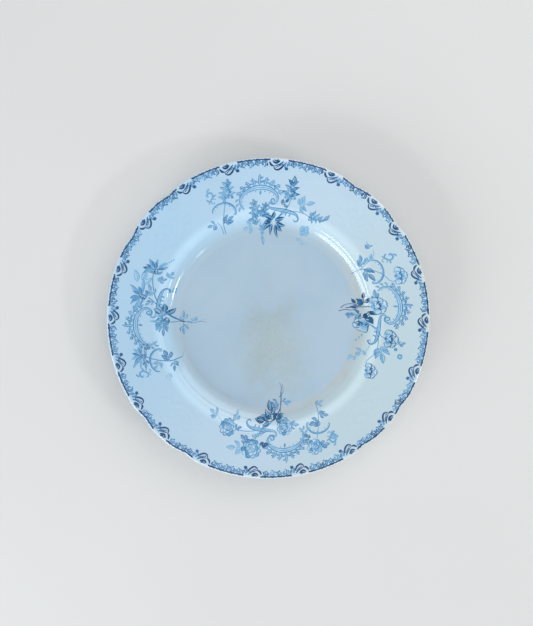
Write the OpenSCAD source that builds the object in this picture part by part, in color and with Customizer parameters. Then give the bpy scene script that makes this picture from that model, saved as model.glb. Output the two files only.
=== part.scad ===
// China dinner plate with a lobed edge, a moulded foot ring and blue underglaze prints.
// Millimetres, +Z up. The origin is the centre of the circle that the foot ring stands on.
// The fired clay, the two coats of glaze that the bare foot keeps apart, and each printed
// transfer are separate solids. They nest face to face, as the layers of the real plate do.

/* [Rim] */
// Radius of the finished edge, between the notches
edge_r = 127; // [120:1:135]
// Radius of the rounded lip, which is half its thickness
lip_r = 1.7; // [1.4:0.1:2]
// Slope of the rim where it leaves the shoulder, in degrees
rim_slope = 10; // [8:1:12]
// Radius of the shallow hollow curve along the rim
rim_curve_r = 400; // [300:10:600]
// Slope of the back of the rim, in degrees
back_slope = 14; // [13:1:15]

/* [Well] */
// Radius of the flat floor
floor_r = 71; // [68:1:74]
// Height of the floor's glazed face above the table
floor_z = 7; // [6.5:0.1:8]
// Radius of the hollow curve that leads up from the floor
cavetto_r = 14; // [12:0.5:15]
// Steepest slope of the well's wall, in degrees
wall_slope = 52; // [48:1:55]
// Radius of the shoulder between the wall and the rim
shoulder_r = 7; // [6:0.5:8]

/* [Foot] */
// Outer radius of the foot ring
foot_outer_r = 77; // [76:0.5:78]
// Inner radius of the foot ring
foot_inner_r = 72.5; // [71:0.5:73]
// Height of the base panel inside the foot ring
foot_h = 2.6; // [2:0.1:3]
// Rounding of the foot's edges
foot_round = 0.8; // [0.5:0.1:1]
// Height up to which the glaze is wiped off the foot
wiped_h = 1.1; // [1:0.1:1.5]

/* [Edge notches] */
// Depth of each notch in the edge
notch_depth = 1.6; // [1:0.1:2]
// Half of the angle that a notch takes, in degrees
notch_half = 5.5; // [4:0.5:7]
// Angle between each diagonal and the notches beside it, in degrees
notch_offset = 10; // [8:1:12]

/* [Layers] */
// Thickness of the glaze
glaze_t = 0.2; // [0.15:0.01:0.3]
// Thickness of the printed colour, which lies on the clay under the glaze
ink_t = 0.06; // [0.04:0.01:0.08]
// Number of times that the border's shell repeats round the rim
border_repeats = 20; // [16:1:24]
// Bare margin between the edge and the border
border_margin = 1.3; // [1:0.1:1.6]

/* [Hidden] */
$fn = 180;

// The profile is a chain of arcs and lines that are tangent to each other. A skin of s shifts
// every one of them s into the plate, so skin 0 is the glazed face and skin glaze_t the clay.
function arc(centre, r, from, to, steps) =
    [for (i = [0:steps]) let (a = from + (to - from) * i / steps) centre + r * [cos(a), sin(a)]];
function backwards(points) = [for (i = [len(points) - 1:-1:0]) points[i]];

cavetto_c = [floor_r, floor_z + cavetto_r];
shoulder_c = cavetto_c + (cavetto_r + shoulder_r) * [sin(wall_slope), -cos(wall_slope)];
rim_c = shoulder_c + (shoulder_r + rim_curve_r) * [-sin(rim_slope), cos(rim_slope)];
lip_slope = asin((edge_r - lip_r - rim_c[0]) / (rim_curve_r + lip_r));
lip_c = rim_c + (rim_curve_r + lip_r) * [sin(lip_slope), -cos(lip_slope)];

// The back of the rim leaves the lip in a straight line and turns down to the foot ring.
back_turn_r = 6;
back_turn_x = foot_outer_r + 11.5;
back_wall_slope = 50;
lip_under = lip_c + lip_r * [sin(back_slope), -cos(back_slope)];
back_turn_c = [back_turn_x, lip_under[1] - (lip_under[0] - back_turn_x) * tan(back_slope)]
    + back_turn_r * [sin(back_slope), -cos(back_slope)];

// The face that food and prints lie on, from a start radius on the floor out to the lip
function face_line(skin, start_r) = concat(
    [[start_r, floor_z - skin]],
    arc(cavetto_c, cavetto_r + skin, -90, wall_slope - 90, 6),
    arc(shoulder_c, shoulder_r - skin, 90 + wall_slope, 90 + rim_slope, 4),
    arc(rim_c, rim_curve_r + skin, rim_slope - 90, lip_slope - 90, 3));

// The back, from the lip in to the outer wall of the foot ring
function back_line(skin) = let (
    turn = arc(back_turn_c, back_turn_r + skin, 90 + back_slope, 90 + back_wall_slope, 4),
    end = turn[len(turn) - 1],
    wall_foot = [end[0] - (end[1] - foot_h) / tan(back_wall_slope), foot_h])
    concat(turn, [wall_foot, [foot_outer_r - skin, foot_round]]);

// The foot ring stands on bare clay, so its sole stays at z = 0 whatever the skin is.
function foot_line(skin) = concat(
    arc([foot_outer_r - skin - foot_round, foot_round], foot_round, 0, -90, 4),
    arc([foot_inner_r + skin + foot_round, foot_round], foot_round, -90, -180, 4),
    [[foot_inner_r + skin - 0.5, foot_h + skin], [0, foot_h + skin]]);

function plate_profile(skin) = concat(
    face_line(skin, 0),
    arc(lip_c, lip_r - skin, 90 + lip_slope, back_slope - 90, 10),
    back_line(skin),
    foot_line(skin));

// One side of a notch is a long bar whose section leaves the lip rounded.
module notch_bar(skin) {
    half = edge_r * sin(notch_half);
    turn = atan(notch_depth / half);
    bar_l = 4 * half;
    bar_w = 6;
    translate([0, edge_r - notch_depth - skin])
        rotate([90, 0, 90 + turn])
            translate([0, 0, -bar_l / 2])
                linear_extrude(bar_l)
                    difference() {
                        translate([-lip_r + skin, lip_c[1] - bar_w])
                            square([lip_r + bar_w, 2 * bar_w]);
                        translate([-lip_r + skin, lip_c[1]])
                            circle(r = lip_r - skin, $fn = 48);
                    }
}

// The two bars of a notch share only the wedge between them, which is what the notch takes away.
module notch(skin) {
    intersection() {
        notch_bar(skin);
        mirror([1, 0, 0]) notch_bar(skin);
    }
}

module each_notch() {
    for (diagonal = [45:90:315], side = [-1, 1])
        rotate(diagonal + side * notch_offset - 90)
            children();
}

module plate_solid(skin) {
    difference() {
        rotate_extrude() polygon(plate_profile(skin));
        each_notch() notch(skin);
    }
}

// Outline of the edge moved in by a margin
module lobed_disc(margin) {
    half = (edge_r - margin) * sin(notch_half);
    difference() {
        circle(r = edge_r - margin);
        each_notch()
            translate([0, edge_r - margin - notch_depth])
                polygon([[0, 0], [2 * half, 2 * notch_depth], [-2 * half, 2 * notch_depth]]);
    }
}

// Thin skin over the clay from a start radius out to the lip, with an underside that runs
// on down into the clay by the depth given
module face_film(start_r, depth) {
    rotate_extrude()
        polygon(concat(face_line(glaze_t - ink_t, start_r),
                       backwards(face_line(glaze_t + depth, start_r))));
}

// Ornament in plan: at() places a shape by its angle clockwise from the spray's middle and by
// its radius.
module at(angle, radius, turn = 0) {
    rotate(-angle) translate([0, radius]) rotate(turn) children();
}

// Angles in the ornament run clockwise from the top of a shape.
function ray(angle, r) = r * [sin(angle), cos(angle)];
function bow(r, from, to, steps) = [for (i = [0:steps]) ray(from + (to - from) * i / steps, r)];

// A flower head or a fan of leaflets is a star with one point for each petal.
module star(points, outer, inner) {
    polygon([for (i = [0:2 * points - 1]) ray(i * 180 / points, i % 2 == 0 ? outer : inner)]);
}

// A star on a stalk that hangs from the gap between its two lowest petals
module sprig(points, outer, inner, stalk) {
    half_w = 0.5;
    step = 180 / points;
    stalk_top = -inner * 0.8;
    polygon(concat(
        [for (i = [1:2 * points - 1]) ray(180 + step * i, i % 2 == 1 ? outer : inner)],
        [[half_w, stalk_top], [half_w, -stalk], [-half_w, -stalk], [-half_w, stalk_top]]));
}

module scroll(r, width, from, to) {
    polygon(concat(bow(r + width / 2, from, to, 12), backwards(bow(r - width / 2, from, to, 12))));
}

// A scroll with a crest of leaves along the middle of its outer edge
module crested_scroll(r, width, from, to, leaves, leaf_l) {
    step = (to - from) / (leaves + 2);
    crest = [for (i = [1:leaves]) let (grown = 0.6 + 0.4 * sin(180 * (i - 0.5) / leaves)) each [
        ray(from + (i + 0.1) * step, r + width / 2),
        ray(from + (i + 0.5) * step, r + width / 2 + leaf_l * grown),
        ray(from + (i + 0.9) * step, r + width / 2)]];
    polygon(concat([ray(from, r + width / 2)], crest, [ray(to, r + width / 2)],
                   backwards(bow(r - width / 2, from, to, 12))));
}

// Every spray has the same scroll and the same sprigs about it, with its own kind of flower.
module spray_art(petals, head) {
    hollow = head * 0.55;
    at(0, 89) crested_scroll(13.5, 3, -110, 100, 7, 8);
    at(-18.5, 84) scroll(8, 1.8, -80, 70);
    at(0, 88) star(petals, head * 1.2, hollow * 1.2);
    at(2, 73, -10) sprig(5, 7.5, 3, 14);
    at(14, 103, -35) sprig(petals, head, hollow, 9);
    at(27, 92, -70) sprig(petals, head, hollow, 15);
    at(-19, 103, 8) sprig(petals, head, hollow, 9);
    at(-21, 78, 20) sprig(5, 5, 2, 12);
    at(16, 84, 20) star(4, 6, 2.2);
}

// The border is a line with a shell at each repeat and small tufts between the shells. Its
// inner edge is one outline: two numbers for each point, its share of a repeat and its depth.
module border_art() {
    shell = [[0, 3], [0.02, 5.6], [0.09, 7.4], [0.16, 5.6], [0.2, 3.2]];
    tufts = [for (tuft = [0:3]) each [[0.29 + tuft * 0.19, 5], [0.38 + tuft * 0.19, 3.2]]];
    step = 360 / border_repeats;
    difference() {
        lobed_disc(border_margin);
        polygon([for (i = [0:border_repeats - 1], point = concat(shell, tufts))
            let (a = -(i + point[0]) * step) (edge_r - border_margin - point[1]) * [cos(a), sin(a)]]);
    }
}

module ink(start_r, depth) {
    intersection() {
        face_film(start_r, depth);
        linear_extrude(2 * lip_c[1]) children();
    }
}

border_start_r = 112;
spray_start_r = 57;
// Each spray's middle, in degrees anticlockwise from +Y. They are laid by hand, so they stand
// a degree or two off the square places.
poppy_turn = -88;
fern_turn = -1;
cornflower_turn = 86;
rose_turn = 179;

module poppy_art() { rotate(poppy_turn) spray_art(5, 4.2); }
module fern_art() { rotate(fern_turn) spray_art(7, 5); }
module cornflower_art() { rotate(cornflower_turn) spray_art(9, 4.6); }
module rose_art() { rotate(rose_turn) spray_art(6, 4.4); }

// The fired white earthenware, bare only on the sole of the foot ring
module clay_body() {
    color("linen") plate_solid(glaze_t);
}

// Glaze over the face, the lip and the back down to the wiped foot, recessed for the prints
module glaze_coat() {
    inlay = 0.5;
    foot_mid_r = (foot_outer_r + foot_inner_r) / 2;
    color("aliceblue")
        difference() {
            plate_solid(0);
            plate_solid(glaze_t);
            translate([0, 0, -1]) cylinder(r = foot_mid_r, h = foot_h + 2);
            translate([0, 0, -1]) cylinder(r = foot_outer_r + 3, h = wiped_h + 1);
            ink(border_start_r, inlay) border_art();
            ink(spray_start_r, inlay) {
                poppy_art();
                fern_art();
                cornflower_art();
                rose_art();
            }
        }
}

// Glaze on the base panel and up the inner wall of the foot ring
module base_glaze() {
    wall_lean = 0.5 / (foot_h - foot_round);
    wiped_in = wall_lean * (wiped_h - foot_round);
    color("aliceblue")
        rotate_extrude()
            polygon([[0, foot_h],
                     [foot_inner_r - 0.5, foot_h],
                     [foot_inner_r - wiped_in, wiped_h],
                     [foot_inner_r + glaze_t - wiped_in, wiped_h],
                     [foot_inner_r + glaze_t - 0.5, foot_h + glaze_t],
                     [0, foot_h + glaze_t]]);
}

module border_print() {
    color("steelblue") ink(border_start_r, 0) border_art();
}

module poppy_spray() {
    color("steelblue") ink(spray_start_r, 0) poppy_art();
}

module fern_spray() {
    color("steelblue") ink(spray_start_r, 0) fern_art();
}

module cornflower_spray() {
    color("steelblue") ink(spray_start_r, 0) cornflower_art();
}

module rose_spray() {
    color("steelblue") ink(spray_start_r, 0) rose_art();
}

clay_body();
glaze_coat();
base_glaze();
border_print();
poppy_spray();
fern_spray();
cornflower_spray();
rose_spray();
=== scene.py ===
import random
from math import asin, ceil, copysign, cos, hypot, log, pi, radians, remainder, sin, sqrt, tan

import bpy
import numpy as np
from mathutils import Matrix, Vector


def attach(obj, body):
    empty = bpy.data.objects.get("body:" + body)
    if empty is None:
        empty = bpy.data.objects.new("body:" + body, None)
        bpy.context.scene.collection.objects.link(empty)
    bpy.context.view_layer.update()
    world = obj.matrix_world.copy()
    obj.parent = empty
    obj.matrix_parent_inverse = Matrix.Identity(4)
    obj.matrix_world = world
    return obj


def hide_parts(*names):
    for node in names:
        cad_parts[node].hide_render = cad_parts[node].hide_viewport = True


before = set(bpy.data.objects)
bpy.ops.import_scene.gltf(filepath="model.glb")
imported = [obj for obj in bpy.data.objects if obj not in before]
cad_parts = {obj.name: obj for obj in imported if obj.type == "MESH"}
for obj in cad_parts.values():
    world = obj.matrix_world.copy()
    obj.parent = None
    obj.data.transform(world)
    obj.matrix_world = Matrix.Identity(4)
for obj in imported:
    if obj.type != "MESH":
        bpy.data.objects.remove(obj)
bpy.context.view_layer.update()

# The plate is worked out in millimetres, in polar coordinates about its centre, and turned into
# metres where a mesh is made. The camera, the lights and the floor are in metres.
MM = 0.001
rng = random.Random(19)
vary = rng.uniform

# ---- The plate's form: the same arcs and lines as the CAD's profile ----
EDGE_R = 127.0
LIP_R = 1.7
RIM_SLOPE = radians(10)
RIM_CURVE_R = 400.0
BACK_SLOPE = radians(14)
FLOOR_R = 71.0
FLOOR_Z = 7.0
CAVETTO_R = 14.0
WALL_SLOPE = radians(52)
SHOULDER_R = 7.0
FOOT_OUTER_R = 77.0
FOOT_INNER_R = 72.5
FOOT_H = 2.6
FOOT_ROUND = 0.8
FOOT_LEAN = 0.5
WIPED_H = 1.1
BACK_TURN_R = 6.0
BACK_TURN_X = FOOT_OUTER_R + 11.5
BACK_WALL_SLOPE = radians(50)
NOTCH_DEPTH = 1.6
NOTCH_HALF = radians(5.5)
NOTCH_OFFSET = radians(10)
# How rounded the V is, and the radii between which a notch fades in towards the edge
NOTCH_ROUND = 0.12
NOTCH_START_R = 112
NOTCH_FULL_R = 124
DIAGONALS = [radians(45 + 90 * quarter) for quarter in range(4)]
# Thickness of the glaze's shell, a little under the real 0.2 so that it stays off the clay,
# and the number of points round each of the two coats
SHELL_T = 0.12
COAT_COLUMNS = 640
BASE_COLUMNS = 240

cavetto_c = (FLOOR_R, FLOOR_Z + CAVETTO_R)
shoulder_c = (cavetto_c[0] + (CAVETTO_R + SHOULDER_R) * sin(WALL_SLOPE),
              cavetto_c[1] - (CAVETTO_R + SHOULDER_R) * cos(WALL_SLOPE))
rim_c = (shoulder_c[0] - (SHOULDER_R + RIM_CURVE_R) * sin(RIM_SLOPE),
         shoulder_c[1] + (SHOULDER_R + RIM_CURVE_R) * cos(RIM_SLOPE))
LIP_SLOPE = asin((EDGE_R - LIP_R - rim_c[0]) / (RIM_CURVE_R + LIP_R))
lip_c = (EDGE_R - LIP_R, rim_c[1] - (RIM_CURVE_R + LIP_R) * cos(LIP_SLOPE))
wall_end_r = cavetto_c[0] + CAVETTO_R * sin(WALL_SLOPE)
shoulder_end_r = shoulder_c[0] - SHOULDER_R * sin(RIM_SLOPE)
face_end_r = lip_c[0] - LIP_R * sin(LIP_SLOPE)


def face_z(r):
    """Height of the glazed face at a radius, out over the top of the lip."""
    if r <= FLOOR_R:
        return FLOOR_Z
    if r <= wall_end_r:
        return cavetto_c[1] - sqrt(CAVETTO_R ** 2 - (r - cavetto_c[0]) ** 2)
    if r <= shoulder_end_r:
        return shoulder_c[1] + sqrt(SHOULDER_R ** 2 - (r - shoulder_c[0]) ** 2)
    if r <= face_end_r:
        return rim_c[1] - sqrt(RIM_CURVE_R ** 2 - (r - rim_c[0]) ** 2)
    return lip_c[1] + sqrt(max(LIP_R ** 2 - (r - lip_c[0]) ** 2, 0))


def notch(theta):
    """How far the edge is pulled in at an angle: a shallow V beside each diagonal."""
    for diagonal in DIAGONALS:
        for side in (-1, 1):
            away = abs(remainder(theta - diagonal - side * NOTCH_OFFSET, 2 * pi))
            if away < NOTCH_HALF:
                deep = hypot(1 - away / NOTCH_HALF, NOTCH_ROUND) - NOTCH_ROUND
                return NOTCH_DEPTH * deep * (1 + NOTCH_ROUND)
    return 0.0


def follow(r):
    """The share of a notch that a radius follows: all of it at the edge, none on the inner rim."""
    share = min(max((r - NOTCH_START_R) / (NOTCH_FULL_R - NOTCH_START_R), 0), 1)
    return share * share * (3 - 2 * share)


def drop(r, z):
    """How far a notch lowers a point for each millimetre of pull: the back slides down its slope."""
    below_face = (face_z(min(r, face_end_r)) - z) / (2 * LIP_R)
    return tan(BACK_SLOPE) * min(max(below_face, 0), 1)


def on_face(r, theta, lift):
    """A point on the glazed face, raised by lift, in metres."""
    real_r = r - notch(theta) * follow(r)
    return Vector((real_r * cos(theta), real_r * sin(theta), face_z(r) + lift)) * MM


def arc(centre, radius, start, end, steps):
    """Points of an arc, its start left out, with angles from +r towards +z."""
    angles = (start + (end - start) * step / steps for step in range(1, steps + 1))
    return [(centre[0] + radius * cos(a), centre[1] + radius * sin(a)) for a in angles]


def between(start, end, steps):
    """Points of a straight line, its start left out."""
    shares = (step / steps for step in range(1, steps + 1))
    return [(start[0] + (end[0] - start[0]) * s, start[1] + (end[1] - start[1]) * s) for s in shares]


def plate_rows(skin, fineness):
    """The glazed outline from the middle of the floor round the lip to the wiped foot."""
    quarter = pi / 2
    rows = [(r, FLOOR_Z - skin) for r in (6, 18, 32, 46, 58, 66, FLOOR_R)]
    rows += arc(cavetto_c, CAVETTO_R + skin, -quarter, WALL_SLOPE - quarter, 3 * fineness)
    rows += arc(shoulder_c, SHOULDER_R - skin, quarter + WALL_SLOPE, quarter + RIM_SLOPE, 3 * fineness)
    rows += arc(rim_c, RIM_CURVE_R + skin, RIM_SLOPE - quarter, LIP_SLOPE - quarter, 10 * fineness)
    rows += arc(lip_c, LIP_R - skin, quarter + LIP_SLOPE, BACK_SLOPE - quarter, 4 * fineness)
    lip_under_z = lip_c[1] - LIP_R * cos(BACK_SLOPE)
    lip_under_r = lip_c[0] + LIP_R * sin(BACK_SLOPE)
    turn_c = (BACK_TURN_X + BACK_TURN_R * sin(BACK_SLOPE),
              lip_under_z - (lip_under_r - BACK_TURN_X) * tan(BACK_SLOPE)
              - BACK_TURN_R * cos(BACK_SLOPE))
    turn = arc(turn_c, BACK_TURN_R + skin, quarter + BACK_SLOPE, quarter + BACK_WALL_SLOPE, 2 * fineness)
    rows += between(rows[-1], turn[0], 3 * fineness) + turn[1:]
    wall_foot = (turn[-1][0] - (turn[-1][1] - FOOT_H) / tan(BACK_WALL_SLOPE), FOOT_H)
    rows += between(rows[-1], wall_foot, fineness)
    foot_share = (FOOT_H - WIPED_H) / (FOOT_H - FOOT_ROUND)
    foot_r = wall_foot[0] + (FOOT_OUTER_R - skin - wall_foot[0]) * foot_share
    return rows + between(wall_foot, (foot_r, WIPED_H), fineness)


# ---- Curves, used by the moulded ornament and by the prints ----
def smooth(points, step=0.8):
    """A smooth curve through a few points, sampled about every step."""
    ends = [points[0]] + list(points) + [points[-1]]
    curve = [Vector(points[0])]
    for i in range(1, len(ends) - 2):
        a, b, c, d = (Vector(ends[i + k]) for k in (-1, 0, 1, 2))
        count = max(2, ceil((c - b).length / step))
        for k in range(1, count + 1):
            t = k / count
            curve.append(0.5 * (2 * b + (c - a) * t + (2 * a - 5 * b + 4 * c - d) * t * t
                                + (3 * b - a - 3 * c + d) * t ** 3))
    return curve


def ray(angle, length):
    """A step in the ornament's plane: x runs clockwise along the rim and y outwards."""
    return Vector((sin(angle), cos(angle))) * length


def hump(t):
    """Rises from 0 to 1 and falls back to 0 while t goes from 0 to 1."""
    return sin(pi * t)


def side_of(curve, i):
    """Which way a curve's left side lies at its point i."""
    ahead = curve[min(i + 1, len(curve) - 1)] - curve[max(i - 1, 0)]
    return Vector((-ahead.y, ahead.x)).normalized()


def volute(centre, radius, start, turns, step=0.6):
    """A spiral that winds in to its centre; turns is negative for an anticlockwise one."""
    count = max(6, ceil(abs(turns) * 2 * pi * radius * 0.6 / step))
    return [Vector(centre) + ray(start + turns * 2 * pi * k / count, radius * (1 - 0.8 * k / count))
            for k in range(count + 1)]


# ---- The glaze, with the scrolls that are moulded into the rim at the diagonals ----
# Where the moulded ornament lies on each side of a diagonal, and how it stands out
MOULDED_INNER_R, MOULDED_MIDDLE_R, MOULDED_OUTER_R = 92, 105, 118
MOULDED_REACH = 24
MOULDED_H = 0.28
MOULDED_SPREAD = 1.0


def moulded_curves():
    """The moulded ornament of one diagonal, in its own plane of x along the rim and y as radius."""
    half = [
        smooth([(2, 96), (8, 98), (13, 103), (13, 109), (8, 112), (4, 109), (6, 106)]),
        smooth([(13, 103), (17, 101), (20, 104), (18, 107)]),
        smooth([(2, 104), (3, 110), (1, 114)]),
        smooth([(3, 100), (7, 104), (8, 107)]),
    ]
    return half + [[Vector((-p.x, p.y)) for p in curve] for curve in half]


def add_relief(vertices, thetas, radii):
    """Raises the grid's points that lie near a moulded curve."""
    samples = np.array([tuple(p) for curve in moulded_curves() for p in curve])
    for diagonal in DIAGONALS:
        along = np.angle(np.exp(1j * (thetas - diagonal))) * MOULDED_MIDDLE_R
        near = (np.abs(along) < MOULDED_REACH) & (radii > MOULDED_INNER_R) & (radii < MOULDED_OUTER_R)
        points = np.stack([along[near], radii[near]], axis=1)
        gap = np.sqrt(((points[:, None, :] - samples[None, :, :]) ** 2).sum(axis=2)).min(axis=1)
        vertices[near, 2] += MOULDED_H * MM * np.exp(-(gap / MOULDED_SPREAD) ** 2)


def turned_shell(name, outer, inner, columns, relief=False):
    """A closed shell between two outlines that both start near the axis."""
    rows = outer + inner[::-1]
    thetas = np.arange(columns) * 2 * pi / columns
    notches = np.array([notch(t) for t in thetas])
    vertices = []
    for r, z in rows:
        pulled = notches * follow(r)
        real_r = r - pulled
        heights = z - pulled * drop(r, z)
        vertices.append(np.stack([real_r * np.cos(thetas), real_r * np.sin(thetas), heights], 1))
    vertices = np.concatenate(vertices) * MM
    if relief:
        face_rows = next(i for i, row in enumerate(rows) if row[0] > MOULDED_OUTER_R)
        radii = np.repeat([row[0] for row in rows[:face_rows]], columns)
        add_relief(vertices[:len(radii)], np.tile(thetas, face_rows), radii)
    points = [*map(tuple, vertices), (0, 0, outer[0][1] * MM), (0, 0, inner[0][1] * MM)]
    top, bottom = len(points) - 2, len(points) - 1
    last = (len(rows) - 1) * columns
    faces = []
    for a in range(columns):
        b = (a + 1) % columns
        faces += [(top, a, b), (bottom, last + b, last + a)]
        faces += [(start + a, start + columns + a, start + columns + b, start + b)
                  for start in range(0, last, columns)]
    # Where the outer side faces down, the faces are turned over.
    turn = 1 if outer[0][1] > inner[0][1] else -1
    return add_mesh(name, points, [face[::turn] for face in faces])


def add_object(name, data):
    made = bpy.data.objects.new(name, data)
    bpy.context.scene.collection.objects.link(made)
    return made


def add_mesh(name, points, faces):
    mesh = bpy.data.meshes.new(name)
    mesh.from_pydata(points, [], faces)
    mesh.shade_smooth()
    return add_object(name, mesh)


def make_glaze():
    piece = turned_shell("glaze_skin", plate_rows(0, 4), plate_rows(SHELL_T, 1), COAT_COLUMNS, relief=True)
    piece.data.set_sharp_from_angle(angle=radians(50))
    return piece


def make_base_glaze():
    """The glaze inside the foot ring: a flat panel with a fillet where it turns down the foot."""
    wiped_r = FOOT_INNER_R - FOOT_LEAN * (WIPED_H - FOOT_ROUND) / (FOOT_H - FOOT_ROUND)
    fillet = 0.7
    fillet_c = (FOOT_INNER_R - FOOT_LEAN - fillet, FOOT_H - fillet)

    def rows(skin):
        panel = [(r, FOOT_H + skin) for r in (8, 24, 40, 56, 66, fillet_c[0])]
        bend = arc(fillet_c, fillet + skin, pi / 2, 0.1, 6)
        return panel + bend + between(bend[-1], (wiped_r + skin, WIPED_H), 2)

    return turned_shell("base_skin", rows(0), rows(SHELL_T), BASE_COLUMNS)


# ---- The prints. Each stroke is a thin closed slab that lies on the face. ----
# The height of a slab's top, what each layer adds to it, and the depth of its underside
LIFT = 0.05
LAYER = 0.006
SINK = -0.05
# The radius at which the ornament's plane is drawn at its true width, and where it ends
DRAWN_R = 100.0
PRINT_END_R = EDGE_R - 0.5


class Print:
    """Collects the strokes of one printed transfer into one mesh."""

    def __init__(self, middle, shift=(0, 0)):
        self.middle = middle
        self.shift = shift
        self.points = []
        self.faces = []
        self.tones = []

    def put(self, p, lift, tone):
        """Adds a point of the ornament's plane, raised by lift above the face."""
        theta = self.middle - p[0] / DRAWN_R
        r = p[1] + self.shift[0] * cos(theta - self.shift[1])
        self.points.append(on_face(min(r, PRINT_END_R), theta, lift))
        self.tones.append(tone)

    def ribbon(self, curve, width, tone, layer, edge_tone=None):
        """A slab along a curve. width and tone are numbers or functions of the share along it."""
        width_at = width if callable(width) else lambda t: width
        tone_at = tone if callable(tone) else lambda t: tone
        last = len(curve) - 1
        widths = [max(width_at(i / last), 0.05) for i in range(last + 1)]
        widest = max(widths)
        # Each ring has points across the top, more of them in a wider stroke, and two below.
        across = 2 if widest < 0.8 else 3 if widest < 2 else 5 if widest < 4 else 7
        shares = [1 - 2 * k / (across - 1) for k in range(across)]
        first = len(self.points)
        for i, p in enumerate(curve):
            side = side_of(curve, i) * widths[i] / 2
            middle = tone_at(i / last)
            rim = middle if edge_tone is None else edge_tone
            for share in shares:
                self.put(p + side * share, LIFT + LAYER * layer, middle + (rim - middle) * share * share)
            self.put(p - side, SINK, rim)
            self.put(p + side, SINK, rim)
        around = across + 2
        end = first + last * around
        for ring in range(first, end, around):
            for k in range(around):
                a, b = ring + k, ring + (k + 1) % around
                self.faces.append((a, b, b + around, a + around))
        self.faces += [tuple(range(first, first + around))[::-1], tuple(range(end, end + around))]

    def piece(self, name):
        made = add_mesh(name, self.points, self.faces)
        made.data.set_sharp_from_angle(angle=radians(40))
        tone = made.data.attributes.new("tone", "FLOAT", "POINT")
        tone.data.foreach_set("value", self.tones)
        return made


def swell(peak, power):
    """A hump with its top at the peak's share of the way; a lower power makes it fuller."""
    return lambda t: hump(t ** (log(0.5) / log(peak))) ** power


def stem(ink, points, width, tone):
    """A stem with a pale side and a dark side."""
    curve = smooth(points)
    ink.ribbon(curve, lambda t: width * (1 - 0.45 * t), tone * tone, 1)
    shade = [p + Vector((width * 0.22, -width * 0.12)) for p in curve]
    ink.ribbon(shade, lambda t: width * 0.42 * (1 - 0.4 * t), tone, 2)


def outlined(ink, curve, width_at, fill, lines, line_w, layer):
    """A band of the tone fill with a line along each side; lines are the tones of the two."""
    last = len(curve) - 1
    ink.ribbon(curve, width_at, fill, layer)
    for hand, tone in zip((-1, 1), lines):
        edge = [p + side_of(curve, i) * hand * (width_at(i / last) - line_w) * 0.5
                for i, p in enumerate(curve)]
        ink.ribbon(edge, lambda t: line_w * (0.6 + 0.8 * hump(t)), tone, layer + 1)


def leaf(ink, foot, angle, length, width, tone, bend=0.15, layer=2, veins=4):
    """A pointed leaf: pale with drawn veins, or dark with pale veins where the tone is deep."""
    deep = tone > 0.72
    fill, narrowest, shade = (0.85, 3.2, 0.5) if deep else (0.22, 1.3, 0.62)
    side = ray(angle + pi / 2, 1)
    middle = [Vector(foot) + ray(angle, length * t) + side * bend * length * hump(t) * 0.6
              for t in (k / 10 for k in range(11))]
    blade = swell(0.42, 0.85)
    outlined(ink, middle, lambda t: width * blade(t), tone * fill, [min(tone * 1.1, 1)] * 2,
             max(0.26, width * 0.11), layer)
    if width < narrowest:
        return
    dark_half = [p + side * width * 0.2 * blade(k / 10) for k, p in enumerate(middle)]
    ink.ribbon(dark_half, lambda t: width * 0.36 * blade(t), lambda t: tone * shade * (1.1 - 0.4 * t),
               layer + 1)
    line = max(0.2, width * 0.08)
    drawn = 0.12 if deep else min(tone * 1.2, 1)
    ink.ribbon(middle[:-1], line, drawn, layer + 2)
    for k in range(veins):
        t = 0.2 + 0.55 * k / max(veins - 1, 1)
        start = middle[round(t * 10)]
        for hand in (-1, 1):
            reach = width * 0.38 * blade(t)
            tip = start + side * hand * reach + ray(angle, reach * 0.9)
            ink.ribbon([start, (start + tip) / 2, tip], line * 0.75, drawn, layer + 2)


def sprig(ink, foot, degrees, count, spread, length, width, tone, layer=2):
    """Leaves that stand out alternately from a short twig and end in one leaf at its tip."""
    angle = radians(degrees)
    foot = Vector(foot)
    ahead = ray(angle, 1)
    twig = length * 0.55
    ink.ribbon([foot + ahead * twig * t for t in (0, 0.35, 0.7, 1)], 0.32, tone, layer)
    for k in range(count):
        hand = 0 if k == count - 1 else (1 if k % 2 else -1)
        size = vary(0.72, 0.95) if hand else 1.0
        turned = angle + hand * radians(spread) * vary(0.42, 0.58)
        start = foot + ahead * twig * (k + 0.65) / count
        leaf(ink, start + ray(turned, 0.3), turned, length * size * 0.72, width * size,
             tone * vary(0.8, 1.12), bend=0.25 * hand, layer=layer + k % 2)


def floret(ink, centre, size, tone, layer):
    """A small four-petalled flower, as it looks in a crowded head."""
    first = vary(0, pi / 2)
    for k in range(4):
        turned = first + k * pi / 2
        curve = [Vector(centre) + ray(turned, size * t) for t in (0.1, 0.4, 0.7, 1)]
        ink.ribbon(curve, lambda t: size * (0.3 + 0.6 * sin(pi * t * 0.9)),
                   tone * (0.45 + 0.25 * (k % 2)), layer, edge_tone=tone)
    disc(ink, centre, size * 0.22, min(tone * 1.5, 1), layer + 1)


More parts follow.
